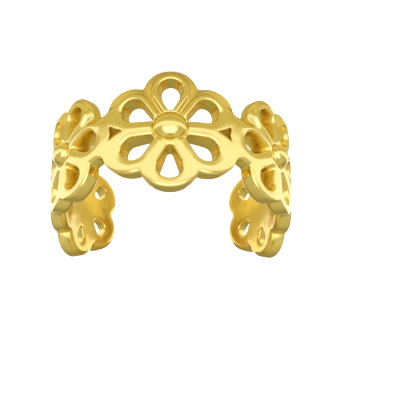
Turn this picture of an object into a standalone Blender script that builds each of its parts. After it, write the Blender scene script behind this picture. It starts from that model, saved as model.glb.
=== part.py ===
"""A one-piece cast ear cuff: five pierced six-petal flowers in a row, bent round into an open C.

The row is drawn flat first. Along the flat row is x, across it is y, and the height is measured from the
outer face's highest line, negative towards the inside of the bend. The flat row is then wrapped round
an oval that stands on its edge, so that y becomes the cuff's own up direction, +Z.
The centre flower faces -Y and the mouth opens towards +Y.
"""
import math

import bmesh
import bpy
import numpy as np
from mathutils import Vector
from mathutils.geometry import delaunay_2d_cdt

MM = 0.001

# The bend, seen from above. The oval is the line of the lips on the outer face.
HALF_WIDTH = 6.0 * MM
HALF_DEPTH = 6.22 * MM
FLARE_START = 8.0 * MM
END_FLARE = 0.15 * MM

# The wall, thinner towards the two ends.
WALL = 0.95 * MM
END_WALL = 0.8 * MM

# The row of flowers. The pitch is measured round the outer face, where bending has stretched the pattern.
FLOWERS_EACH_SIDE = 2
PITCH = 6.28 * MM
STRETCH = 1.13
SIDE_SCALE = 0.93

# One flower, in its own plane.
PETALS = 6
LOBE_CENTRE = 1.62 * MM
LOBE_RADIUS = 1.33 * MM
TIP_FLAT = 0.03 * MM
NOTCH_FILLET = 0.1 * MM
JOINT_FILLET = 0.3 * MM

# An upright flower's petals beside a joint are broader, and drawn out towards the joint.
JOINT_SHIFT = 0.18 * MM
JOINT_GROWTH = 0.03 * MM

# The teardrop openings. The upright flowers' openings are slightly narrowed along the row.
RIM = 0.47 * MM
HOLE_RADIUS = 0.6 * MM
HOLE_TIP_RADIUS = 0.2 * MM
HOLE_TIP_MARGIN = 0.1 * MM
HOLE_NARROWING = 0.94

# Each opening is smaller on the inner face, and more so from flower to flower outwards. The draft takes
# from the radius of its round head. The tip moves by a share of the way to the head, and the far end by
# a share of the draft.
DRAFT = 0.09 * MM
DRAFT_GROWTH = 0.05 * MM
TIP_DRAFT_SHARE = 0.13
TIP_DRAFT_SHARE_GROWTH = 0.28
END_DRAFT_SHARE = 0.3

# The three-sided gap at each joint. Its base lies at this share of the way from the middle of the
# upright flower to the middle of the side flower.
GAP_PLACE = 0.466
GAP_LENGTH = 0.62 * MM
GAP_HALF_HEIGHT = 0.36 * MM
GAP_HOLLOW = 0.05 * MM

# Relief of the outer face. The petals nearest the surface that the cuff lies on are carved: they slope from a
# lip round each opening down to the edge and to valleys. The other petals are flat, and fall only at their edge.
LIP = 0.08 * MM
LIP_DROP = 0.03 * MM
SLOPE = 0.55
SLOPE_DEPTH = 0.28 * MM
CARVED_START = -0.1 * MM
CARVED_SPAN = 0.7 * MM
FALL_WIDTH = 0.35 * MM
FALL_DEPTH = 0.1 * MM
CORE_RADIUS = 2.3 * MM
JOINT_FLAT_RADIUS = 1.0 * MM
EDGE_RADIUS = 0.14 * MM
BACK_CHAMFER = 0.07 * MM
BOSS_RADIUS = 0.68 * MM
BOSS_HEIGHT = 0.52 * MM
SIDE_BOSS_SCALE = 0.76

# Fineness of the mesh.
LOBE_STEP = math.radians(21)
EDGE_RINGS = 2
HOLE_ROUND_SEGMENTS = 9
HOLE_TIP_SEGMENTS = 2
HOLE_SIDE_SEGMENTS = 2
BOSS_SEGMENTS = 14
BOSS_RINGS = 4
VALLEY_POINTS = 4
VALLEY_SHARE = 0.35
GAP_SIDE_SEGMENTS = 2
OVAL_STEPS = 4000
WELD = 1e-6
SHARP_EDGE = math.radians(38)

# Worked out from the sizes above. A flower's number counts along the row from the centre flower, 0.
FLOWERS = range(-FLOWERS_EACH_SIDE, FLOWERS_EACH_SIDE + 1)
PATTERN_PITCH = PITCH / STRETCH
HOLE_CENTRE = LOBE_CENTRE + LOBE_RADIUS - RIM - HOLE_RADIUS
HOLE_TIP_CENTRE = BOSS_RADIUS / HOLE_NARROWING + HOLE_TIP_MARGIN + HOLE_TIP_RADIUS
HOLE_SLANT = (HOLE_RADIUS - HOLE_TIP_RADIUS) / (HOLE_CENTRE - HOLE_TIP_CENTRE)
GAP_BASE = PATTERN_PITCH * GAP_PLACE
GAP_APEX = GAP_BASE - GAP_LENGTH
PETAL_STEP = 360 // PETALS
VALLEY_START = BOSS_RADIUS + HOLE_TIP_MARGIN
VALLEY_END = LOBE_CENTRE + LOBE_RADIUS * VALLEY_SHARE
ROW_END = FLOWERS_EACH_SIDE * PATTERN_PITCH + LOBE_CENTRE + LOBE_RADIUS


def is_side(flower):
    """The side flowers are the odd ones: smaller, and turned so that petals point along the row."""
    return flower % 2 == 1


def flower_x(flower):
    return flower * PATTERN_PITCH


def flower_scale(flower):
    return SIDE_SCALE if is_side(flower) else 1.0


def narrowing(flower):
    """How much narrower along the row a flower's openings are."""
    return 1.0 if is_side(flower) else HOLE_NARROWING


def petal_angles(flower):
    """Petal directions in degrees, from 0 up to and including 360."""
    first = 0 if is_side(flower) else PETAL_STEP // 2
    return range(first, 361, PETAL_STEP)


def lobe(flower, angle):
    """Centre and radius of the circle that forms a petal's outer edge."""
    scale = flower_scale(flower)
    turn = math.radians(angle)
    reach, radius, shift = LOBE_CENTRE * scale, LOBE_RADIUS * scale, 0
    side = round(math.cos(turn))
    if is_side(flower) and angle % 180 == 0:
        reach = PATTERN_PITCH - GAP_BASE - radius
    if (flower, side) in joints():
        shift = side * JOINT_SHIFT
        radius += JOINT_GROWTH
    x = flower_x(flower) + reach * math.cos(turn) + shift
    return np.array([x, reach * math.sin(turn)]), radius


def outline_petals():
    """Every petal edge met on the way round the row, anticlockwise from the +X end's upper petal.

    A petal that its two neighbours cover between them has no edge of its own there.
    """
    upper = [(f, a) for f in reversed(FLOWERS) for a in petal_angles(f) if a <= 180]
    lower = [(f, a) for f in FLOWERS for a in petal_angles(f) if a >= 180]
    row = upper + lower
    following = row[1:] + row[:1]
    return [p for i, p in enumerate(row) if petal_edge(row[i - 1], p, following[i])[1] < math.pi]


def notch(first, second):
    """Centre and radius of the fillet between two petal edges, on the outside of the row."""
    (c1, r1), (c2, r2) = lobe(*first), lobe(*second)
    fillet = NOTCH_FILLET if first[0] == second[0] else JOINT_FILLET
    reach1, reach2 = r1 + fillet, r2 + fillet
    gap = np.linalg.norm(c2 - c1)
    along = (c2 - c1) / gap
    outward = np.array([along[1], -along[0]])
    a = (reach1 ** 2 - reach2 ** 2 + gap ** 2) / (2 * gap)
    return c1 + along * a + outward * math.sqrt(reach1 ** 2 - a ** 2), fillet


def direction(origin, target):
    return math.atan2(target[1] - origin[1], target[0] - origin[0])


def petal_edge(before, petal, after):
    """Where a petal's edge starts and how far it sweeps, between the notches to its neighbours."""
    centre = lobe(*petal)[0]
    start = direction(centre, notch(before, petal)[0])
    return start, (direction(centre, notch(petal, after)[0]) - start) % math.tau


def arc(centre, radius, start, sweep, segments):
    """Points along an arc, both ends included."""
    turns = [start + sweep * i / segments for i in range(segments + 1)]
    return [(centre[0] + radius * math.cos(t), centre[1] + radius * math.sin(t)) for t in turns]


def outline(inset):
    """The row's outer edge as a closed loop, moved inwards by the inset.

    The upper and lower petal tips are polished flat, and the cuff lies on the lower ones.
    """
    petals = outline_petals()
    points = []
    for i, petal in enumerate(petals):
        following = petals[(i + 1) % len(petals)]
        centre, radius = lobe(*petal)
        start, sweep = petal_edge(petals[i - 1], petal, following)
        segments = 2 * round(sweep / LOBE_STEP / 2) + 1
        points += arc(centre, radius - inset, start, sweep, segments)
        middle, fillet = notch(petal, following)
        start = direction(middle, centre)
        sweep = -((start - direction(middle, lobe(*following)[0])) % math.tau)
        segments = max(2, round(-sweep / LOBE_STEP / 2))
        points += arc(middle, fillet + inset, start, sweep, segments)[1:-1]
    limit = LOBE_CENTRE + LOBE_RADIUS - TIP_FLAT - inset
    return [(x, max(-limit, min(limit, y))) for x, y in points]


def teardrop(flower, angle, far, wide, near, narrow):
    """A closed loop round two circles, each given by its distance from the flower's middle and its radius."""
    side = math.acos((narrow - wide) / (far - near))
    head = arc((far, 0), wide, -side, 2 * side, HOLE_ROUND_SEGMENTS)
    tip = arc((near, 0), narrow, side, math.tau - 2 * side, HOLE_TIP_SEGMENTS)
    loop = head + straight(head[-1], tip[0]) + tip + straight(tip[-1], head[0])
    c, s = math.cos(math.radians(angle)), math.sin(math.radians(angle))
    along = narrowing(flower)
    return [(flower_x(flower) + along * (c * x - s * y), s * x + c * y) for x, y in loop]


def petal_hole(flower, angle, margin):
    """An opening's edge on the outer face, moved outwards by the margin."""
    scale = flower_scale(flower)
    wide, narrow = HOLE_RADIUS * scale + margin, HOLE_TIP_RADIUS * scale + margin
    return teardrop(flower, angle, HOLE_CENTRE * scale, wide, HOLE_TIP_CENTRE * scale, narrow)


def inner_petal_hole(flower, angle):
    """The same opening's edge on the inner face."""
    scale = flower_scale(flower)
    draft = DRAFT + DRAFT_GROWTH * abs(flower)
    moved = TIP_DRAFT_SHARE + TIP_DRAFT_SHARE_GROWTH * abs(flower)
    far = HOLE_CENTRE * scale + draft * (1 - END_DRAFT_SHARE)
    near = (HOLE_TIP_CENTRE + (HOLE_CENTRE - HOLE_TIP_CENTRE) * moved) * scale
    return teardrop(flower, angle, far, HOLE_RADIUS * scale - draft, near, HOLE_TIP_RADIUS * scale)


def straight(start, end):
    """The points between two corners, without the corners."""
    shares = [i / HOLE_SIDE_SEGMENTS for i in range(1, HOLE_SIDE_SEGMENTS)]
    return [(start[0] + (end[0] - start[0]) * t, start[1] + (end[1] - start[1]) * t) for t in shares]


def joint_gap(flower, side):
    """The three-sided gap between an upright flower and the side flower on its +X or -X side."""
    corners = [(GAP_APEX, 0), (GAP_BASE, GAP_HALF_HEIGHT), (GAP_BASE, -GAP_HALF_HEIGHT)]
    middle = sum(c[0] for c in corners) / len(corners)
    points = []
    for i, start in enumerate(corners):
        end = corners[(i + 1) % len(corners)]
        for step in range(GAP_SIDE_SEGMENTS):
            t = step / GAP_SIDE_SEGMENTS
            x, y = (start[0] + (end[0] - start[0]) * t, start[1] + (end[1] - start[1]) * t)
            reach = math.hypot(middle - x, y)
            pull = 4 * t * (1 - t) * GAP_HOLLOW / reach
            points.append((flower_x(flower) + side * (x + (middle - x) * pull), y * (1 - pull)))
    return points


def joints():
    """Each upright flower with the side, +1 or -1, on which a side flower meets it."""
    return [(f, side) for f in FLOWERS if not is_side(f) for side in (1, -1) if f + side in FLOWERS]


def hole_distance(x, y):
    """Distance from points in the flat row to the edge of the nearest teardrop opening."""
    nearest = np.full(x.shape, np.inf)
    for flower in FLOWERS:
        scale = flower_scale(flower)
        length = (HOLE_CENTRE - HOLE_TIP_CENTRE) * scale
        wide, narrow = HOLE_RADIUS * scale, HOLE_TIP_RADIUS * scale
        rise = math.sqrt(1 - HOLE_SLANT ** 2)
        for angle in petal_angles(flower):
            c, s = math.cos(math.radians(angle)), math.sin(math.radians(angle))
            px, py = (x - flower_x(flower)) / narrowing(flower), y
            back = HOLE_CENTRE * scale - (c * px + s * py)
            off = np.abs(c * py - s * px)
            place = rise * back - HOLE_SLANT * off
            side = HOLE_SLANT * back + rise * off - wide
            head = np.hypot(back, off) - wide
            tip = np.hypot(back - length, off) - narrow
            distance = np.where(place < 0, head, np.where(place > rise * length, tip, side))
            nearest = np.minimum(nearest, distance)
    return nearest


def flat_discs():
    """Discs, each a centre and a radius, that together make up the flat petals, cores and joints."""
    discs = [lobe(flower, angle) for flower in FLOWERS for angle in petal_angles(flower)]
    discs += [((flower_x(flower), 0), CORE_RADIUS * flower_scale(flower)) for flower in FLOWERS]
    reach = (GAP_APEX + GAP_BASE) / 2
    return discs + [((flower_x(f) + side * reach, 0), JOINT_FLAT_RADIUS) for f, side in joints()]


def smooth_share(value):
    """A share from 0 to 1 with soft ends."""
    share = np.clip(value, 0, 1)
    return share * share * (3 - 2 * share)


def relief(x, y):
    """Height of the outer face above or below the line of the lips."""
    distance = hole_distance(x, y)
    beyond = np.maximum(0, distance - LIP)
    slope = SLOPE_DEPTH * np.tanh(SLOPE * beyond / SLOPE_DEPTH)
    depth_inside = np.max([radius - np.hypot(x - c[0], y - c[1]) for c, radius in flat_discs()], axis=0)
    edge = FALL_DEPTH * (1 - smooth_share(depth_inside / FALL_WIDTH))
    carved = smooth_share((CARVED_START - y) / CARVED_SPAN)
    lip = LIP_DROP * np.maximum(0, 1 - distance / LIP) ** 2
    return -carved * slope - (1 - carved) * edge - lip


def boss_rings(flower):
    """Rings of the round boss, each a radius and the height of its points above the lips."""
    size = SIDE_BOSS_SCALE if is_side(flower) else 1.0
    turns = [math.pi / 2 * i / BOSS_RINGS for i in range(BOSS_RINGS)]
    return [(BOSS_RADIUS * size * math.cos(t), BOSS_HEIGHT * size * math.sin(t)) for t in turns]


class Sheet:
    """One face of the flat row: its points with their heights, and the loops that bound it."""

    def __init__(self):
        self.points = []
        self.heights = []
        self.edges = []

    def add(self, points, heights, closed=True, joined=True):
        """Adds points with a height each and returns their numbers."""
        first = len(self.points)
        self.points += [tuple(p) for p in points]
        self.heights += [float(h) for h in heights]
        ids = list(range(first, len(self.points)))
        if joined:
            pairs = list(zip(ids, ids[1:]))
            self.edges += pairs + ([(ids[-1], ids[0])] if closed else [])
        return ids

    def triangles(self, rim, openings):
        """Fills the sheet inside its rim and outside its openings."""
        flat = [Vector((x / MM, y / MM)) for x, y in self.points]
        found = delaunay_2d_cdt(flat, self.edges, [], 0, WELD, True)
        source = [ids[0] for ids in found[3]]
        faces = np.array([[source[i] for i in face] for face in found[2]])
        middles = np.array(self.points)[faces].mean(axis=1)
        keep = inside(middles, np.array([self.points[i] for i in rim]))
        for loop in openings:
            keep &= ~inside(middles, np.array([self.points[i] for i in loop]))
        return faces[keep]


def inside(points, loop):
    """Which points lie inside a closed loop, by counting the loop's crossings to their right."""
    x, y = points[:, 0], points[:, 1]
    crossings = np.zeros(len(points), dtype=int)
    for (x1, y1), (x2, y2) in zip(loop, np.roll(loop, -1, axis=0)):
        if y1 == y2:
            continue
        spans = (y1 > y) != (y2 > y)
        crossings += spans & (x < x1 + (y - y1) * (x2 - x1) / (y2 - y1))
    return crossings % 2 == 1


def relief_of(points):
    flat = np.array(points)
    return relief(flat[:, 0], flat[:, 1])


def outer_face():
    """The outer face's sheet, with the loops that its walls start from."""
    sheet = Sheet()
    for ring in range(EDGE_RINGS, -1, -1):
        turn = math.pi / 2 * ring / EDGE_RINGS
        loop = outline(EDGE_RADIUS * (1 - math.cos(turn)))
        rim = sheet.add(loop, relief_of(loop) - EDGE_RADIUS * (1 - math.sin(turn)))
    holes = []
    for flower in FLOWERS:
        for angle in petal_angles(flower):
            if angle == 360:
                continue
            edge = petal_hole(flower, angle, 0)
            holes.append(sheet.add(edge, relief_of(edge)))
            lip = petal_hole(flower, angle, LIP)
            sheet.add(lip, relief_of(lip))
        add_boss(sheet, flower)
        add_valleys(sheet, flower)
    for flower, side in joints():
        edge = joint_gap(flower, side)
        holes.append(sheet.add(edge, relief_of(edge)))
    return sheet, rim, holes


def add_boss(sheet, flower):
    middle = (flower_x(flower), 0)
    for radius, height in boss_rings(flower):
        ring = arc(middle, radius, 0, math.tau, BOSS_SEGMENTS)[:-1]
        sheet.add(ring, [height] * BOSS_SEGMENTS)
    sheet.add([middle], [BOSS_HEIGHT * (SIDE_BOSS_SCALE if is_side(flower) else 1.0)], joined=False)


def add_valleys(sheet, flower):
    """The low lines that run from each notch towards the boss, between two petals."""
    scale = flower_scale(flower)
    for angle in petal_angles(flower):
        if angle == 360:
            continue
        middle = angle + PETAL_STEP / 2
        side = 1 if middle % 360 == 0 else -1
        end = VALLEY_END
        if middle % 180 == 0 and (flower, side) in joints():
            end = GAP_APEX - LIP
        turn = math.radians(middle)
        reaches = [scale * (VALLEY_START + (end - VALLEY_START) * i / VALLEY_POINTS)
                   for i in range(VALLEY_POINTS + 1)]
        line = [(flower_x(flower) + r * math.cos(turn), r * math.sin(turn)) for r in reaches]
        sheet.add(line, relief_of(line), closed=False)


def inner_height(points):
    """Height of the inner face: the wall thins evenly from the centre flower to the ends."""
    share = np.abs(np.array(points)[:, 0]) / ROW_END
    return -(WALL + (END_WALL - WALL) * share)


def inner_face():
    """The smooth inner face's sheet, with the loops that the walls end on."""
    sheet = Sheet()
    loop = outline(BACK_CHAMFER)
    sheet.add(loop, inner_height(loop))
    loop = outline(0)
    rim = sheet.add(loop, inner_height(loop) + BACK_CHAMFER)
    holes = []
    for flower in FLOWERS:
        for angle in petal_angles(flower):
            if angle == 360:
                continue
            edge = inner_petal_hole(flower, angle)
            holes.append(sheet.add(edge, inner_height(edge)))
        middle = [(flower_x(flower), 0)]
        sheet.add(middle, inner_height(middle), joined=False)
    for flower, side in joints():
        edge = joint_gap(flower, side)
        holes.append(sheet.add(edge, inner_height(edge)))
    return sheet, rim, holes


def bend(points, heights):
    """Wraps the flat row round the oval and opens its two ends outwards."""
    turns = np.linspace(-math.pi, math.pi, OVAL_STEPS + 1)
    steps = np.hypot(np.diff(HALF_WIDTH * np.sin(turns)), np.diff(HALF_DEPTH * np.cos(turns)))
    lengths = np.concatenate([[0], np.cumsum(steps)])
    lengths -= lengths[OVAL_STEPS // 2]
    flat = np.array(points)
    along = flat[:, 0] * STRETCH
    turn = np.interp(along, lengths, turns)
    normal = np.stack([HALF_DEPTH * np.sin(turn), -HALF_WIDTH * np.cos(turn)])
    normal /= np.hypot(*normal)
    share = np.clip((np.abs(along) - FLARE_START) / (ROW_END * STRETCH - FLARE_START), 0, None)
    out = np.array(heights) + END_FLARE * share ** 2
    x = HALF_WIDTH * np.sin(turn) + normal[0] * out
    y = -HALF_DEPTH * np.cos(turn) + normal[1] * out
    return np.stack([x, y, flat[:, 1]], axis=1)


def build_cuff():
    """Joins the outer face, the inner face and the walls between them into one closed solid."""
    outer, outer_rim, outer_holes = outer_face()
    inner, inner_rim, inner_holes = inner_face()
    positions = bend(outer.points + inner.points, outer.heights + inner.heights)
    first_inner = len(outer.points)
    mesh = bmesh.new()
    verts = [mesh.verts.new(p) for p in positions]
    for a, b, c in outer.triangles(outer_rim, outer_holes):
        mesh.faces.new((verts[a], verts[b], verts[c]))
    for a, b, c in inner.triangles(inner_rim, inner_holes) + first_inner:
        mesh.faces.new((verts[c], verts[b], verts[a]))
    for front, back in zip([outer_rim] + outer_holes, [inner_rim] + inner_holes):
        for i in range(len(front)):
            near, following = front[i], front[(i + 1) % len(front)]
            far, far_following = back[i] + first_inner, back[(i + 1) % len(back)] + first_inner
            mesh.faces.new((verts[near], verts[far], verts[far_following], verts[following]))
    bmesh.ops.recalc_face_normals(mesh, faces=mesh.faces)
    return mesh


def stand_at_origin(solid):
    """Moves the solid so that the origin is the middle of its box's underside."""
    corners = np.array([vert.co for vert in solid.verts])
    low, high = corners.min(axis=0), corners.max(axis=0)
    middle = (low + high) / 2
    bmesh.ops.translate(solid, verts=solid.verts, vec=(-middle[0], -middle[1], -low[2]))


def gold():
    material = bpy.data.materials.new("polished_gold")
    material.use_nodes = True
    shader = material.node_tree.nodes["Principled BSDF"]
    shader.inputs["Base Color"].default_value = (0.80, 0.56, 0.13, 1)
    shader.inputs["Metallic"].default_value = 1.0
    shader.inputs["Roughness"].default_value = 0.16
    return material


def main():
    for old in list(bpy.data.objects):
        bpy.data.objects.remove(old, do_unlink=True)
    mesh = bpy.data.meshes.new("flower_cuff")
    solid = build_cuff()
    stand_at_origin(solid)
    solid.to_mesh(mesh)
    solid.free()
    mesh.materials.append(gold())
    mesh.shade_smooth()
    mesh.set_sharp_from_angle(angle=SHARP_EDGE)
    cuff = bpy.data.objects.new("flower_cuff", mesh)
    bpy.context.scene.collection.objects.link(cuff)


main()
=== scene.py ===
"""A polished gold ear cuff of five pierced flowers, lying on a pale floor in soft studio light.

The cuff is drawn as a flat row first: x runs along the row, y across it, and a height is measured
outwards from the line of the lips. The row is then wrapped round an oval, so that y becomes +Z.
Sizes are in millimetres until the mesh is made.
"""
import math

import bmesh
import bpy
import numpy as np
from mathutils import Matrix, Vector
from mathutils.geometry import delaunay_2d_cdt
from mathutils.kdtree import KDTree


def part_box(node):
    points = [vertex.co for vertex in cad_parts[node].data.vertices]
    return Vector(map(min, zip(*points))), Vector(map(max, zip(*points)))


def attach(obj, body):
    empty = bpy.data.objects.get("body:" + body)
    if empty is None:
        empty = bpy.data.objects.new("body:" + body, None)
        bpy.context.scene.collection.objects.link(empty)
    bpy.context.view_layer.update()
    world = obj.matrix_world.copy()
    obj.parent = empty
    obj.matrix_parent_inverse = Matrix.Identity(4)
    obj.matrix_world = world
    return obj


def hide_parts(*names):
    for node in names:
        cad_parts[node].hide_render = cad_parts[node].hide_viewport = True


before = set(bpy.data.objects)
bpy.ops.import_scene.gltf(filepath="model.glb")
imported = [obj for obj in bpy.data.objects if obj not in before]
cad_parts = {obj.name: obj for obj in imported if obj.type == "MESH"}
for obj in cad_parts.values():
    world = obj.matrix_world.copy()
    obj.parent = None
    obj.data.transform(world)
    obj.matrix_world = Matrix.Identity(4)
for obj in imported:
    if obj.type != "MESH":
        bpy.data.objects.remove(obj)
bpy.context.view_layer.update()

MM = 0.001

# The bend and the wall, as in the solid that the cuff stands for.
HALF_WIDTH = 6.0
HALF_DEPTH = 6.22
FLARE_START = 8.0
END_FLARE = 0.15
WALL = 0.95
END_WALL = 0.8
OVAL_STEPS = 8000

# The row of flowers. The solid's upright petals are cut flat at their tips. Here they are round,
# and shorter by the same amount.
FLOWERS = range(-2, 3)
PITCH = 6.28
STRETCH = 1.13
SIDE_SCALE = 0.93
LOBE_CENTRE = 1.62
LOBE_RADIUS = 1.33
TIP_CUT = 0.03
NOTCH_FILLET = 0.1
JOINT_FILLET = 0.3
JOINT_SHIFT = 0.18
JOINT_GROWTH = 0.03

# The teardrop openings, at the wall. The upright flowers' openings are slightly narrowed along
# the row.
RIM = 0.51
HOLE_RADIUS = 0.56
HOLE_TIP_RADIUS = 0.16
HOLE_TIP_MARGIN = 0.14
HOLE_NARROWING = 0.94

# Each opening is smaller on the inner face, and more so from flower to flower outwards.
DRAFT = 0.105
DRAFT_GROWTH = 0.045
TIP_DRAFT_SHARE = 0.13
TIP_DRAFT_SHARE_GROWTH = 0.28
END_DRAFT_SHARE = 0.3

# The three-sided gap at each joint, its sides hollow and its corners rounded.
GAP_PLACE = 0.466
GAP_LENGTH = 0.62
GAP_HALF_HEIGHT = 0.36
GAP_HOLLOW = 0.05
GAP_CORNER_POWER = 8

# Carved petals, the ones that point down: a lip round each opening, a step, and slopes that are
# gentle towards the edge and steep towards the valleys between petals.
LIP = 0.2
LIP_SOFTNESS = 0.03
STEP_WIDTH = 0.12
STEP_DEPTH = 0.08
VALLEY_SOFTNESS = 0.05
VALLEY_WIDTH = 0.3
SLOPE = 0.6
SLOPE_DEPTH = 0.27
RIM_SLOPE_SHARE = 0.35
CARVED_START = -0.1
CARVED_SPAN = 0.7

# The other petals are almost flat. They fall at their edge and swell between the openings.
FALL_WIDTH = 0.25
FALL_DEPTH = 0.035
FALL_SOFTNESS = 0.05
SWELL_WIDTH = 0.36
SWELL_DEPTH = 0.05
CORE_RADIUS = 2.3
JOINT_FLAT_RADIUS = 1.0
JOINT_FLAT_FADE = 0.5

# Rounded edges.
EDGE_RADIUS = 0.11
OPENING_ROUND = 0.1
GAP_ROUND = 0.06
INSIDE_EDGE_RADIUS = 0.3
INSIDE_ROUND = 0.1

# The bosses, each in a narrow groove.
BOSS_RADIUS = 0.68
BOSS_HEIGHT = 0.52
SIDE_BOSS_SCALE = 0.76
GROOVE_WIDTH = 0.08
GROOVE_DEPTH = 0.13
GROOVE_SHARES = (1.0, 0.5, 0.0)
BOSS_FOOT_GAP = 0.004

# Fineness of the mesh.
LOBE_STEP = math.radians(2.6)
FILLET_COARSENESS = 3
FILLET_SEGMENTS_MIN = 6
HEAD_SEGMENTS = 48
TIP_SEGMENTS = 10
SIDE_SEGMENTS = 14
GAP_SEGMENTS = 12
ROUND_RINGS = 4
EDGE_RINGS = 6
BOSS_SEGMENTS = 60
BOSS_SEGMENTS_MIN = 12
BOSS_RINGS = 14
WELD = 1e-6

# Where loose points lie: rings round the openings, loops along the edge, and even triangles in
# between. A clearance is how far a point keeps from the points that are already there.
LIP_RINGS = (0.125, 0.16, 0.195, 0.225, 0.25, 0.275, 0.305, 0.34)
LIP_RING_SLACK = 0.01
LIP_RING_CLEARANCE = 0.02
EDGE_LOOPS = (0.15, 0.2, 0.25, 0.31)
EDGE_LOOP_TO_OPENING = 0.13
EDGE_LOOP_CLEARANCE = 0.03
BOSS_CLEARANCE = 0.02
FACE_SPACING = 0.075
INSIDE_SPACING = 0.15
SPACING_CLEARANCE = 0.6

# Worked out from the sizes above.
PATTERN_PITCH = PITCH / STRETCH
HOLE_CENTRE = LOBE_CENTRE + LOBE_RADIUS - RIM - HOLE_RADIUS
HOLE_TIP_CENTRE = BOSS_RADIUS / HOLE_NARROWING + HOLE_TIP_MARGIN + HOLE_TIP_RADIUS
GAP_BASE = PATTERN_PITCH * GAP_PLACE
GAP_APEX = GAP_BASE - GAP_LENGTH
ROW_END = 2 * PATTERN_PITCH + LOBE_CENTRE + LOBE_RADIUS
FLOOR_LIFT = LOBE_CENTRE + LOBE_RADIUS - TIP_CUT

# The golds of the outer face with its rim, the inner face, and the walls of the openings: name,
# gold, deeper gold of its patches, roughness, and how strong its unevenness is.
# The inner face and the walls of the openings have deeper, more orange golds than the outer face:
# painted shade of the hollows. Their higher roughness is their own finish.
GOLDS = (("polished_gold_face", (0.95, 0.78, 0.25), (0.91, 0.73, 0.20), 0.1, 0.4),
         ("polished_gold_inside_painted_shade", (0.92, 0.68, 0.15), (0.87, 0.61, 0.11), 0.16, 0.6),
         ("polished_gold_openings_painted_shade", (0.94, 0.75, 0.20), (0.90, 0.70, 0.16), 0.28, 0.5))
FACE_GOLD, INSIDE_GOLD, OPENING_GOLD = range(3)

# Marks of polishing: scales per metre and detail of the noises, and depth of the unevenness.
PATCH_SCALE, PATCH_DETAIL = 400.0, 3.0
HAZE_SCALE, HAZE_DETAIL = 2600.0, 4.0
HAZE_RANGE = (0.75, 1.25)
WAVE_SCALE, WAVE_DETAIL = 1100.0, 1.0
WAVE_DEPTH = 0.05

# The floor, as the camera sees it.
FLOOR_TONE = 0.9
FLOOR_ROUGHNESS = 0.9
FLOOR_SPECULAR = 0.1
FLOOR_GLOW = 0.6
FLOOR_RADIUS = 1200.0
FLOOR_SEGMENTS = 96
FLOOR_DROP = 0.01

# The floor, as the gold sees it, is a painted reflection: its tone by the distance from the cuff's
# middle, darker near the cuff as painted shade beneath it, with a brighter painted band between the
# dark ones.
# It is warm near the cuff, and white from the full tone on.
FLOOR_FADE = 24.0
PAINTED_FLOOR_REFLECTION = ((0.0, 0.75), (4.5, 0.55), (6.3, 0.86), (8.0, 0.55), (9.5, 0.55), (12.5, 1.0))
FULL_TONE = 1.0
WARM = (1.0, 0.92, 0.55)
WHITE = (1.0, 1.02, 1.3)

# Brightness of the studio's walls. ROOM is all round. Each glow has an axis, the cosines between
# which it fades in, and a strength: a broad one low in front, weak ones above and at the sides,
# and a dark card high in front. The dim parts are warm, and the bright ones white.
ROOM = 0.35
ROOM_WHITE = 1.3
GLOWS = (((0.0, -0.93, 0.36), (0.66, 0.99), 1.5),
         ((0.0, 0.0, 1.0), (0.5, 1.0), 0.25),
         ((0.9, -0.3, 0.3), (0.5, 0.95), 0.25),
         ((-0.9, -0.3, 0.3), (0.5, 0.95), 0.25),
         ((0.0, -0.57, 0.82), (0.93, 0.99), -0.35))

# The soft panel above, its power in watts. It isn't seen in reflections.
PANEL_PLACE = (0, 30, 90)
PANEL_SIZE = (90, 60)
PANEL_POWER = 0.06

# The photograph's view: where the camera stands round the cuff's middle and how it is turned.
VIEW_TILT = math.radians(24.0)
VIEW_TURN = math.radians(-0.85)
VIEW_ROLL = math.radians(-0.78)
VIEW_DISTANCE = 53.6
PICTURE = 400
PIXELS_PER_MM = 20.24
MIDDLE_PIXEL = (171.2, 175.7)
SENSOR = 36.0


def is_side(flower):
    """The side flowers are the odd ones: smaller, and turned so that petals point along the row."""
    return flower % 2 == 1


def flower_scale(flower):
    """A flower's size against the upright flowers."""
    return SIDE_SCALE if is_side(flower) else 1.0


def boss_scale(flower):
    """The size of a flower's boss against the upright flowers' bosses."""
    return SIDE_BOSS_SCALE if is_side(flower) else 1.0


def petal_angles(flower):
    """Petal directions in degrees, from 0 up to and including 360."""
    return range(0 if is_side(flower) else 30, 361, 60)


def joints():
    """Each upright flower with the side, +1 or -1, on which a side flower meets it."""
    upright = [flower for flower in FLOWERS if not is_side(flower)]
    return [(flower, side) for flower in upright for side in (1, -1) if flower + side in FLOWERS]


def openings():
    """Every teardrop opening, as its flower and its direction in degrees."""
    return [(flower, angle) for flower in FLOWERS for angle in petal_angles(flower) if angle < 360]


def lobe(flower, angle):
    """Centre and radius of the circle that forms a petal's outer edge."""
    scale = flower_scale(flower)
    turn = math.radians(angle)
    reach, radius, shift = LOBE_CENTRE * scale, LOBE_RADIUS * scale, 0
    side = round(math.cos(turn))
    if angle % 180 == 90:
        reach -= TIP_CUT
    if is_side(flower) and angle % 180 == 0:
        reach = PATTERN_PITCH - GAP_BASE - radius
    if (flower, side) in joints():
        shift = side * JOINT_SHIFT
        radius += JOINT_GROWTH
    x = flower * PATTERN_PITCH + reach * math.cos(turn) + shift
    return np.array([x, reach * math.sin(turn)]), radius


def notch(first, second):
    """Centre and radius of the fillet between two petal edges, on the outside of the row."""
    (c1, r1), (c2, r2) = lobe(*first), lobe(*second)
    fillet = NOTCH_FILLET if first[0] == second[0] else JOINT_FILLET
    reach1, reach2 = r1 + fillet, r2 + fillet
    gap = np.linalg.norm(c2 - c1)
    along = (c2 - c1) / gap
    outward = np.array([along[1], -along[0]])
    a = (reach1 ** 2 - reach2 ** 2 + gap ** 2) / (2 * gap)
    return c1 + along * a + outward * math.sqrt(reach1 ** 2 - a ** 2), fillet


def direction(origin, target):
    """The angle of the line from the origin to the target."""
    return math.atan2(target[1] - origin[1], target[0] - origin[0])


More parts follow.
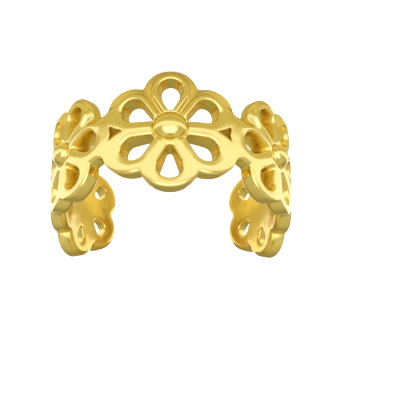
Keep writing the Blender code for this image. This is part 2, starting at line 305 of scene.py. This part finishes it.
def arc(centre, radius, start, sweep, segments):
    """Points along an arc, both ends included."""
    turns = start + sweep * np.arange(segments + 1) / segments
    return np.stack([centre[0] + radius * np.cos(turns),
                     centre[1] + radius * np.sin(turns)], axis=1)


def outline(inset):
    """The row's outer edge as a closed loop, moved inwards by the inset."""
    upper = [(f, a) for f in reversed(FLOWERS) for a in petal_angles(f) if a <= 180]
    lower = [(f, a) for f in FLOWERS for a in petal_angles(f) if a >= 180]
    petals = upper + lower
    points = []
    for i, petal in enumerate(petals):
        following = petals[(i + 1) % len(petals)]
        centre, radius = lobe(*petal)
        start = direction(centre, notch(petals[i - 1], petal)[0])
        middle, fillet = notch(petal, following)
        sweep = (direction(centre, middle) - start) % math.tau
        points.append(arc(centre, radius - inset, start, sweep, round(sweep / LOBE_STEP)))
        start = direction(middle, centre)
        sweep = -((start - direction(middle, lobe(*following)[0])) % math.tau)
        segments = max(FILLET_SEGMENTS_MIN, round(-sweep / LOBE_STEP / FILLET_COARSENESS))
        points.append(arc(middle, fillet + inset, start, sweep, segments)[1:-1])
    return np.concatenate(points)


def narrowing(flower):
    """How much narrower along the row a flower's openings are."""
    return 1.0 if is_side(flower) else HOLE_NARROWING


def outer_circles(flower):
    """An opening's two circles on the outer face: distance and radius of its head, then its tip."""
    scale = flower_scale(flower)
    return (HOLE_CENTRE * scale, HOLE_RADIUS * scale,
            HOLE_TIP_CENTRE * scale, HOLE_TIP_RADIUS * scale)


def inner_circles(flower):
    """The same two circles on the inner face."""
    far, wide, near, narrow = outer_circles(flower)
    draft = DRAFT + DRAFT_GROWTH * abs(flower)
    moved = TIP_DRAFT_SHARE + TIP_DRAFT_SHARE_GROWTH * abs(flower)
    return far + draft * (1 - END_DRAFT_SHARE), wide - draft, near + (far - near) * moved, narrow


def between(start, end):
    """Evenly spaced points on an opening's straight side, without its two ends."""
    shares = np.arange(1, SIDE_SEGMENTS)[:, None] / SIDE_SEGMENTS
    return start + (end - start) * shares


def teardrop(circles, flower, angle, margin):
    """A teardrop opening's edge as a closed loop, moved outwards by the margin."""
    far, wide, near, narrow = circles(flower)
    side = math.acos((narrow - wide) / (far - near))
    head = arc((far, 0), wide + margin, -side, 2 * side, HEAD_SEGMENTS)
    tip = arc((near, 0), narrow + margin, side, math.tau - 2 * side, TIP_SEGMENTS)
    loop = np.concatenate([head, between(head[-1], tip[0]), tip, between(tip[-1], head[0])])
    x, y = loop.transpose()
    c, s = math.cos(math.radians(angle)), math.sin(math.radians(angle))
    along = flower * PATTERN_PITCH + (c * x - s * y) * narrowing(flower)
    return np.stack([along, s * x + c * y], axis=1)


def joint_gap(flower, side, margin):
    """The three-sided gap at a joint, moved outwards by the margin."""
    corners = np.array([(GAP_APEX, 0), (GAP_BASE, GAP_HALF_HEIGHT), (GAP_BASE, -GAP_HALF_HEIGHT)])
    middle = corners.mean(axis=0)
    points = []
    for i, start in enumerate(corners):
        end = corners[(i + 1) % 3]
        t = np.arange(GAP_SEGMENTS)[:, None] / GAP_SEGMENTS
        line = start + (end - start) * t
        hollow = 4 * t * (1 - t) * GAP_HOLLOW
        away = line - middle
        reach = np.linalg.norm(away, axis=1, keepdims=True)
        corner = (np.abs(2 * t - 1) ** GAP_CORNER_POWER) * GAP_HOLLOW
        points.append(middle + away * (1 + (margin - hollow - corner) / reach))
    loop = np.concatenate(points)
    return np.stack([flower * PATTERN_PITCH + side * loop[:, 0], loop[:, 1] * side], axis=1)


def opening_distances(circles, points):
    """Distance from points in the flat row to the edge of each teardrop opening."""
    rows = []
    for flower, angle in openings():
        far, wide, near, narrow = circles(flower)
        length = far - near
        slant = (wide - narrow) / length
        rise = math.sqrt(1 - slant ** 2)
        c, s = math.cos(math.radians(angle)), math.sin(math.radians(angle))
        x, y = (points[:, 0] - flower * PATTERN_PITCH) / narrowing(flower), points[:, 1]
        back = far - (c * x + s * y)
        off = np.abs(c * y - s * x)
        place = rise * back - slant * off
        side = slant * back + rise * off - wide
        head = np.hypot(back, off) - wide
        tip = np.hypot(back - length, off) - narrow
        rows.append(np.where(place < 0, head, np.where(place > rise * length, tip, side)))
    return np.array(rows)


def clear_of_openings(circles, points, margin):
    """The points that lie in the metal, at least the margin from any opening's edge."""
    return points[opening_distances(circles, points).min(axis=0) > margin]


def joint_middles():
    """The middle of each joint, as its place along the row."""
    reach = (GAP_APEX + GAP_BASE) / 2
    return [flower * PATTERN_PITCH + side * reach for flower, side in joints()]


def flat_discs():
    """Discs, each a centre and a radius, that together make up the petals, cores and joints."""
    petals = [lobe(flower, angle) for flower, angle in openings()]
    cores = [((f * PATTERN_PITCH, 0), CORE_RADIUS * flower_scale(f)) for f in FLOWERS]
    return petals + cores + [((middle, 0), JOINT_FLAT_RADIUS) for middle in joint_middles()]


def smooth_share(value):
    """A share from 0 to 1 with soft ends."""
    share = np.clip(value, 0, 1)
    return share * share * (3 - 2 * share)


def carved_depth(nearest, distances):
    """How far the carved petals lie below the lips."""
    beyond = LIP_SOFTNESS * np.logaddexp(0, (nearest - LIP) / LIP_SOFTNESS)
    slope = SLOPE_DEPTH * np.tanh(SLOPE * beyond / SLOPE_DEPTH)
    first, second = np.partition(distances, 1, axis=0)[:2]
    slope *= RIM_SLOPE_SHARE + (1 - RIM_SLOPE_SHARE) / np.cosh((second - first) / VALLEY_WIDTH)
    slope += STEP_DEPTH * smooth_share((nearest - LIP) / STEP_WIDTH)
    return slope


def flat_depth(points, nearest):
    """How far the flat petals lie below their highest line."""
    depths = [radius - np.hypot(points[:, 0] - c[0], points[:, 1] - c[1])
              for c, radius in flat_discs()]
    inward = FALL_SOFTNESS * np.logaddexp.reduce(np.array(depths) / FALL_SOFTNESS)
    edge = FALL_DEPTH * (1 - smooth_share(inward / FALL_WIDTH))
    edge += SWELL_DEPTH * (1 - smooth_share(nearest / SWELL_WIDTH))
    return edge


def face_height(points):
    """Height of the outer face, carved on the lower petals and flat on the others."""
    distances = opening_distances(outer_circles, points)
    nearest = -VALLEY_SOFTNESS * np.logaddexp.reduce(-distances / VALLEY_SOFTNESS)
    carved = smooth_share((CARVED_START - points[:, 1]) / CARVED_SPAN)
    for middle in joint_middles():
        reach = np.hypot(points[:, 0] - middle, points[:, 1])
        carved = carved * smooth_share((reach - JOINT_FLAT_RADIUS) / JOINT_FLAT_FADE)
    return -carved * carved_depth(nearest, distances) - (1 - carved) * flat_depth(points, nearest)


def inside_height(points):
    """Height of the smooth inner face: the wall thins evenly towards the two ends."""
    return -(WALL + (END_WALL - WALL) * np.abs(points[:, 0]) / ROW_END)


def quarter_round(radius, rings):
    """Steps of a rounded edge from wall to face, each a distance from the wall and a drop."""
    turns = [math.pi / 2 * i / rings for i in range(rings + 1)]
    return [(radius * (1 - math.cos(t)), radius * (1 - math.sin(t))) for t in turns]


def inside(points, loop):
    """Which points lie inside a closed loop, by counting the loop's crossings to their right."""
    x, y = points[:, 0], points[:, 1]
    crossings = np.zeros(len(points), dtype=int)
    for (x1, y1), (x2, y2) in zip(loop, np.roll(loop, -1, axis=0)):
        if y1 == y2:
            continue
        spans = (y1 > y) != (y2 > y)
        crossings += spans & (x < x1 + (y - y1) * (x2 - x1) / (y2 - y1))
    return crossings % 2 == 1


class Sheet:
    """One face of the flat row: points with heights, loops that bound it, and loose points."""

    def __init__(self, height):
        self.height = height
        self.points = np.zeros((0, 2))
        self.heights = np.zeros(0)
        self.edges = []

    def add(self, points, heights):
        """Adds points, and returns their numbers."""
        first = len(self.points)
        self.points = np.concatenate([self.points, points])
        self.heights = np.concatenate([self.heights, heights])
        return np.arange(first, len(self.points))

    def loop(self, points, drop):
        """Adds a closed loop below the face by the drop, and returns its point numbers."""
        ids = self.add(points, self.height(points) - drop)
        self.edges += list(zip(ids.tolist(), np.roll(ids, -1).tolist()))
        return ids

    def rounded(self, loop_at, radius, rings):
        """Adds a rounded edge as loops from the wall to the face, and returns the wall's loop."""
        loops = [self.loop(loop_at(away), drop) for away, drop in quarter_round(radius, rings)]
        return loops[0]

    def pierced(self, circles, opening_round, gap_round):
        """Adds the rounded edges of all openings and joint gaps, and returns their walls' loops."""
        holes = [self.rounded(lambda away: teardrop(circles, flower, angle, away),
                              opening_round, ROUND_RINGS) for flower, angle in openings()]
        return holes + [self.rounded(lambda away: joint_gap(flower, side, away),
                                     gap_round, ROUND_RINGS) for flower, side in joints()]

    def fill(self, candidates, clearance):
        """Adds the candidate points that keep clear of all points so far."""
        tree = KDTree(len(self.points))
        for i, (x, y) in enumerate(self.points):
            tree.insert((x, y, 0), i)
        tree.balance()
        keep = [tree.find((x, y, 0))[2] > clearance for x, y in candidates]
        chosen = candidates[np.array(keep, dtype=bool)]
        self.add(chosen, self.height(chosen))

    def triangles(self, rim, holes):
        """Fills the sheet inside its rim and outside its holes."""
        corners = [Vector(point) for point in self.points]
        found = delaunay_2d_cdt(corners, self.edges, [], 0, WELD, True)
        source = np.array([ids[0] for ids in found[3]])
        faces = source[np.array(found[2])]
        middles = self.points[faces].mean(axis=1)
        keep = inside(middles, self.points[rim])
        for loop in holes:
            edge = self.points[loop]
            near = np.all((middles > edge.min(axis=0)) & (middles < edge.max(axis=0)), axis=1)
            keep[near] &= ~inside(middles[near], edge)
        return faces[keep]


def grid(spacing):
    """Points in even triangles over the whole row."""
    rows = np.arange(-FLOOR_LIFT, FLOOR_LIFT, spacing * math.sqrt(3) / 2)
    columns = np.arange(-ROW_END, ROW_END, spacing)
    x, y = np.meshgrid(columns, rows)
    x[::2] += spacing / 2
    return np.stack([x.ravel(), y.ravel()], axis=1)


def outside_bosses(points):
    """The points that lie outside every boss and its groove."""
    keep = np.ones(len(points), dtype=bool)
    for flower in FLOWERS:
        away = np.hypot(points[:, 0] - flower * PATTERN_PITCH, points[:, 1])
        keep &= away > BOSS_RADIUS * boss_scale(flower) + GROOVE_WIDTH + BOSS_CLEARANCE
    return points[keep]


def add_boss(sheet, flower):
    """A domed boss that stands in a narrow groove."""
    size = boss_scale(flower)
    middle = (flower * PATTERN_PITCH, 0)
    for share in GROOVE_SHARES:
        radius = BOSS_RADIUS * size + GROOVE_WIDTH * share
        ring = arc(middle, radius, 0, math.tau, BOSS_SEGMENTS)[:-1]
        ring = clear_of_openings(outer_circles, ring, OPENING_ROUND)
        sheet.add(ring, sheet.height(ring) - GROOVE_DEPTH * (1 - share ** 2))
    for i in range(BOSS_RINGS):
        turn = math.pi / 2 * i / BOSS_RINGS
        radius = (BOSS_RADIUS * math.cos(turn) - BOSS_FOOT_GAP) * size
        segments = max(BOSS_SEGMENTS_MIN, round(BOSS_SEGMENTS * math.cos(turn)))
        ring = arc(middle, radius, 0, math.tau, segments)[:-1]
        sheet.add(ring, np.full(len(ring), BOSS_HEIGHT * size * math.sin(turn)))
    sheet.add(np.array([middle]), np.array([BOSS_HEIGHT * size]))


def outer_face():
    """The outer face with its lips, slopes, valleys and bosses."""
    sheet = Sheet(face_height)
    rim = sheet.rounded(outline, EDGE_RADIUS, EDGE_RINGS)
    holes = sheet.pierced(outer_circles, OPENING_ROUND, GAP_ROUND)
    for flower in FLOWERS:
        add_boss(sheet, flower)
    for margin in LIP_RINGS:
        for flower, angle in openings():
            ring = teardrop(outer_circles, flower, angle, margin)
            ring = clear_of_openings(outer_circles, ring, margin - LIP_RING_SLACK)
            sheet.fill(outside_bosses(ring), LIP_RING_CLEARANCE)
    for inset in EDGE_LOOPS:
        loop = clear_of_openings(outer_circles, outline(inset), EDGE_LOOP_TO_OPENING)
        sheet.fill(loop, EDGE_LOOP_CLEARANCE)
    loose = clear_of_openings(outer_circles, grid(FACE_SPACING), OPENING_ROUND)
    sheet.fill(outside_bosses(loose), FACE_SPACING * SPACING_CLEARANCE)
    return sheet, rim, holes


def inner_face():
    """The smooth inner face. Its rounded edges turn outwards, so their heights are mirrored."""
    sheet = Sheet(inside_height)
    rim = sheet.rounded(outline, INSIDE_EDGE_RADIUS, EDGE_RINGS)
    holes = sheet.pierced(inner_circles, INSIDE_ROUND, INSIDE_ROUND)
    sheet.heights = 2 * inside_height(sheet.points) - sheet.heights
    loose = clear_of_openings(inner_circles, grid(INSIDE_SPACING), INSIDE_ROUND)
    sheet.fill(loose, INSIDE_SPACING * SPACING_CLEARANCE)
    return sheet, rim, holes


def bend(points, heights):
    """Wraps the flat row round the oval and opens its two ends outwards."""
    turns = np.linspace(-math.pi, math.pi, OVAL_STEPS + 1)
    steps = np.hypot(np.diff(HALF_WIDTH * np.sin(turns)), np.diff(HALF_DEPTH * np.cos(turns)))
    lengths = np.concatenate([[0], np.cumsum(steps)])
    lengths -= lengths[OVAL_STEPS // 2]
    along = points[:, 0] * STRETCH
    turn = np.interp(along, lengths, turns)
    normal = np.stack([HALF_DEPTH * np.sin(turn), -HALF_WIDTH * np.cos(turn)])
    normal /= np.hypot(*normal)
    share = np.clip((np.abs(along) - FLARE_START) / (ROW_END * STRETCH - FLARE_START), 0, None)
    out = heights + END_FLARE * share ** 2
    x = HALF_WIDTH * np.sin(turn) + normal[0] * out
    y = -HALF_DEPTH * np.cos(turn) + normal[1] * out
    return np.stack([x, y, points[:, 1]], axis=1)


def make_cuff(golds):
    """Joins the outer face, the inner face and the walls between them into one closed body."""
    outer, outer_rim, outer_holes = outer_face()
    inner, inner_rim, inner_holes = inner_face()
    positions = bend(np.concatenate([outer.points, inner.points]),
                     np.concatenate([outer.heights, inner.heights]))
    positions *= MM
    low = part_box("flower_cuff")[0]
    positions += (0, low.y + (HALF_DEPTH + BOSS_HEIGHT) * MM, FLOOR_LIFT * MM)
    first_inner = len(outer.points)
    front = outer.triangles(outer_rim, outer_holes).tolist()
    back = (inner.triangles(inner_rim, inner_holes)[:, ::-1] + first_inner).tolist()
    walls = []
    for near, far in zip([outer_rim] + outer_holes, [inner_rim] + inner_holes):
        far = far + first_inner
        walls += np.stack([near, far, np.roll(far, -1), np.roll(near, -1)], axis=1).tolist()
    mesh = bpy.data.meshes.new("pierced_flower_band")
    mesh.from_pydata(positions.tolist(), [], front + walls + back)
    for material in golds:
        mesh.materials.append(material)
    # The walls of the openings and the inner face take the deeper golds, which are painted shade.
    kinds = [FACE_GOLD] * (len(front) + len(outer_rim))
    kinds += [OPENING_GOLD] * (len(walls) - len(outer_rim)) + [INSIDE_GOLD] * len(back)
    mesh.polygons.foreach_set("material_index", kinds)
    solid = bmesh.new()
    solid.from_mesh(mesh)
    unused = [point for point in solid.verts if not point.link_faces]
    bmesh.ops.delete(solid, geom=unused, context="VERTS")
    bmesh.ops.recalc_face_normals(solid, faces=solid.faces)
    solid.to_mesh(mesh)
    solid.free()
    mesh.shade_smooth()
    cuff = bpy.data.objects.new("pierced_flower_band", mesh)
    bpy.context.scene.collection.objects.link(cuff)
    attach(cuff, "root")
    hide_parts("flower_cuff")


def new_material(name):
    """A new material, its nodes and links, and its shader."""
    material = bpy.data.materials.new(name)
    material.use_nodes = True
    nodes = material.node_tree.nodes
    return material, nodes, material.node_tree.links, nodes["Principled BSDF"]


def noise(nodes, links, place, scale, detail):
    """A noise that is fixed to the object."""
    texture = nodes.new("ShaderNodeTexNoise")
    texture.inputs["Scale"].default_value = scale
    texture.inputs["Detail"].default_value = detail
    links.new(place.outputs["Object"], texture.inputs["Vector"])
    return texture.outputs["Fac"]


def product(nodes, links, first, second):
    """Two values multiplied."""
    times = nodes.new("ShaderNodeMath")
    times.operation = "MULTIPLY"
    links.new(first, times.inputs[0])
    links.new(second, times.inputs[1])
    return times.outputs["Value"]


def colour_mix(nodes, links, factor):
    """A mix of two colours by a factor."""
    mix = nodes.new("ShaderNodeMix")
    mix.data_type = "RGBA"
    links.new(factor, mix.inputs["Factor"])
    return mix


def polish_marks():
    """A node group of what a buffing wheel leaves: patches of tone, haze and a wavy surface."""
    group = bpy.data.node_groups.new("polish_marks", "ShaderNodeTree")
    face = group.interface
    for name, kind in (("Gold", "NodeSocketColor"), ("Deep Gold", "NodeSocketColor"),
                       ("Roughness", "NodeSocketFloat"), ("Wave", "NodeSocketFloat")):
        face.new_socket(name=name, in_out="INPUT", socket_type=kind)
    for name, kind in (("Colour", "NodeSocketColor"), ("Roughness", "NodeSocketFloat"),
                       ("Height", "NodeSocketFloat")):
        face.new_socket(name=name, in_out="OUTPUT", socket_type=kind)
    nodes, links = group.nodes, group.links
    given = nodes.new("NodeGroupInput")
    result = nodes.new("NodeGroupOutput")
    place = nodes.new("ShaderNodeTexCoord")
    tone = colour_mix(nodes, links, noise(nodes, links, place, PATCH_SCALE, PATCH_DETAIL))
    links.new(given.outputs["Gold"], tone.inputs["A"])
    links.new(given.outputs["Deep Gold"], tone.inputs["B"])
    links.new(tone.outputs["Result"], result.inputs["Colour"])
    spread = nodes.new("ShaderNodeMapRange")
    spread.inputs["To Min"].default_value, spread.inputs["To Max"].default_value = HAZE_RANGE
    links.new(noise(nodes, links, place, HAZE_SCALE, HAZE_DETAIL), spread.inputs["Value"])
    rough = product(nodes, links, given.outputs["Roughness"], spread.outputs["Result"])
    links.new(rough, result.inputs["Roughness"])
    waves = noise(nodes, links, place, WAVE_SCALE, WAVE_DETAIL)
    links.new(product(nodes, links, waves, given.outputs["Wave"]), result.inputs["Height"])
    return group


def make_gold(marks, name, tone, deep, roughness, wave):
    """Polished gold with the marks of its polishing."""
    material, nodes, links, shader = new_material(name)
    shader.inputs["Metallic"].default_value = 1.0
    effect = nodes.new("ShaderNodeGroup")
    effect.node_tree = marks
    effect.inputs["Gold"].default_value = (*tone, 1)
    effect.inputs["Deep Gold"].default_value = (*deep, 1)
    effect.inputs["Roughness"].default_value = roughness
    effect.inputs["Wave"].default_value = wave
    bump = nodes.new("ShaderNodeBump")
    bump.inputs["Strength"].default_value = 1.0
    bump.inputs["Distance"].default_value = WAVE_DEPTH * MM
    links.new(effect.outputs["Colour"], shader.inputs["Base Color"])
    links.new(effect.outputs["Roughness"], shader.inputs["Roughness"])
    links.new(effect.outputs["Height"], bump.inputs["Height"])
    links.new(bump.outputs["Normal"], shader.inputs["Normal"])
    return material


def painted_reflection_by_distance(nodes, links):
    """The floor's tone as the gold sees it, by the distance from the cuff's middle: a painted
    reflection, darker near the cuff as painted shade.
    """
    place = nodes.new("ShaderNodeTexCoord")
    reach = nodes.new("ShaderNodeVectorMath")
    reach.operation = "LENGTH"
    links.new(place.outputs["Object"], reach.inputs[0])
    share = nodes.new("ShaderNodeMath")
    share.operation = "DIVIDE"
    share.inputs[1].default_value = FLOOR_FADE * MM
    links.new(reach.outputs["Value"], share.inputs[0])
    shade = nodes.new("ShaderNodeValToRGB")
    ramp = shade.color_ramp
    ramp.interpolation = "EASE"
    for stop in ramp.elements[1:]:
        ramp.elements.remove(stop)
    ramp.elements[0].position = 0
    ramp.elements[0].color = (*[PAINTED_FLOOR_REFLECTION[0][1] * part for part in WARM], 1)
    for radius, tone in PAINTED_FLOOR_REFLECTION[1:]:
        tint = WHITE if tone == FULL_TONE else WARM
        ramp.elements.new(radius / FLOOR_FADE).color = (*[tone * part for part in tint], 1)
    links.new(share.outputs["Value"], shade.inputs["Fac"])
    return shade.outputs["Color"]


def make_floor():
    """A wide pale floor. In the gold its tone varies by the distance from the cuff: a painted
    reflection, with painted shade near the cuff.
    """
    material, nodes, links, shader = new_material("pale_floor")
    shader.inputs["Roughness"].default_value = FLOOR_ROUGHNESS
    shader.inputs["Specular IOR Level"].default_value = FLOOR_SPECULAR
    rays = nodes.new("ShaderNodeLightPath")
    # Glossy rays see the painted reflection tones. The camera and diffuse light see the plain floor
    # tone.
    seen = colour_mix(nodes, links, rays.outputs["Is Glossy Ray"])
    seen.inputs["A"].default_value = (FLOOR_TONE, FLOOR_TONE, FLOOR_TONE, 1)
    links.new(painted_reflection_by_distance(nodes, links), seen.inputs["B"])
    links.new(seen.outputs["Result"], shader.inputs["Base Color"])
    links.new(rays.outputs["Is Camera Ray"], shader.inputs["Emission Color"])
    shader.inputs["Emission Strength"].default_value = FLOOR_GLOW
    mesh = bpy.data.meshes.new("floor")
    disc = bmesh.new()
    bmesh.ops.create_circle(disc, cap_ends=True, segments=FLOOR_SEGMENTS, radius=FLOOR_RADIUS * MM)
    disc.to_mesh(mesh)
    disc.free()
    mesh.materials.append(material)
    floor = bpy.data.objects.new("floor", mesh)
    floor.location.z = -FLOOR_DROP * MM
    bpy.context.scene.collection.objects.link(floor)


def make_panel():
    """The soft panel, which faces the cuff."""
    lamp = bpy.data.lights.new("high_panel", "AREA")
    lamp.shape = "RECTANGLE"
    lamp.size, lamp.size_y = PANEL_SIZE[0] * MM, PANEL_SIZE[1] * MM
    lamp.energy = PANEL_POWER
    light = bpy.data.objects.new("high_panel", lamp)
    light.location = Vector(PANEL_PLACE) * MM
    middle = Vector((0, 0, FLOOR_LIFT)) * MM
    light.rotation_euler = (light.location - middle).to_track_quat("Z", "Y").to_euler()
    light.visible_glossy = False
    bpy.context.scene.collection.objects.link(light)


def wall_brightness(nodes, links):
    """How bright the studio is in each direction: the room and all glows added up."""
    place = nodes.new("ShaderNodeTexCoord")
    total = None
    for axis, (far, near), strength in GLOWS:
        facing = nodes.new("ShaderNodeVectorMath")
        facing.operation = "DOT_PRODUCT"
        facing.inputs[1].default_value = Vector(axis).normalized()
        links.new(place.outputs["Generated"], facing.inputs[0])
        glow = nodes.new("ShaderNodeMapRange")
        glow.interpolation_type = "SMOOTHSTEP"
        glow.inputs["From Min"].default_value = far
        glow.inputs["From Max"].default_value = near
        glow.inputs["To Max"].default_value = strength
        links.new(facing.outputs["Value"], glow.inputs["Value"])
        plus = nodes.new("ShaderNodeMath")
        links.new(glow.outputs["Result"], plus.inputs[0])
        if total:
            links.new(total, plus.inputs[1])
        else:
            plus.inputs[1].default_value = ROOM
        total = plus.outputs["Value"]
    return total


def make_surroundings():
    """The studio round the cuff. The camera itself would see it plain and bright."""
    world = bpy.data.worlds.new("studio")
    world.use_nodes = True
    nodes, links = world.node_tree.nodes, world.node_tree.links
    background = nodes["Background"]
    total = wall_brightness(nodes, links)
    rays = nodes.new("ShaderNodeLightPath")
    seen = nodes.new("ShaderNodeMix")
    seen.inputs["B"].default_value = 1.0
    links.new(rays.outputs["Is Camera Ray"], seen.inputs["Factor"])
    links.new(total, seen.inputs["A"])
    links.new(seen.outputs["Result"], background.inputs["Strength"])
    whiteness = nodes.new("ShaderNodeMapRange")
    whiteness.inputs["From Min"].default_value = ROOM
    whiteness.inputs["From Max"].default_value = ROOM_WHITE
    links.new(total, whiteness.inputs["Value"])
    tint = colour_mix(nodes, links, whiteness.outputs["Result"])
    tint.inputs["A"].default_value = (*WARM, 1)
    tint.inputs["B"].default_value = (*WHITE, 1)
    links.new(tint.outputs["Result"], background.inputs["Color"])
    bpy.context.scene.world = world


def make_camera():
    """The photograph's view.

    The photographed cuff is the other way up, so the camera is rolled half a turn.
    """
    tilt, turn, roll = VIEW_TILT, VIEW_TURN, VIEW_ROLL
    ahead = Vector((-math.sin(turn) * math.cos(tilt), math.cos(turn) * math.cos(tilt),
                    -math.sin(tilt)))
    right = Vector((-math.cos(turn), -math.sin(turn), 0))
    up = right.cross(ahead)
    rolled_right = right * math.cos(roll) - up * math.sin(roll)
    rolled_up = right * math.sin(roll) + up * math.cos(roll)
    middle = Vector((0, 0, FLOOR_LIFT))
    aim = middle + rolled_right * ((PICTURE / 2 - MIDDLE_PIXEL[0]) / PIXELS_PER_MM)
    aim -= rolled_up * ((PICTURE / 2 - MIDDLE_PIXEL[1]) / PIXELS_PER_MM)
    data = bpy.data.cameras.new("camera")
    data.sensor_width = SENSOR
    data.lens = PIXELS_PER_MM * VIEW_DISTANCE * SENSOR / PICTURE
    data.clip_start, data.clip_end = MM, 1000 * MM
    camera = bpy.data.objects.new("camera", data)
    place = middle - ahead * VIEW_DISTANCE
    back = (place - aim).normalized()
    side = rolled_up.cross(back).normalized()
    matrix = Matrix((side, back.cross(side), back)).transposed().to_4x4()
    matrix.translation = place * MM
    camera.matrix_world = matrix
    bpy.context.scene.collection.objects.link(camera)
    bpy.context.scene.camera = camera


def main():
    bpy.context.scene.view_settings.view_transform = "Standard"
    marks = polish_marks()
    make_cuff([make_gold(marks, *values) for values in GOLDS])
    make_floor()
    make_surroundings()
    make_panel()
    make_camera()


main()
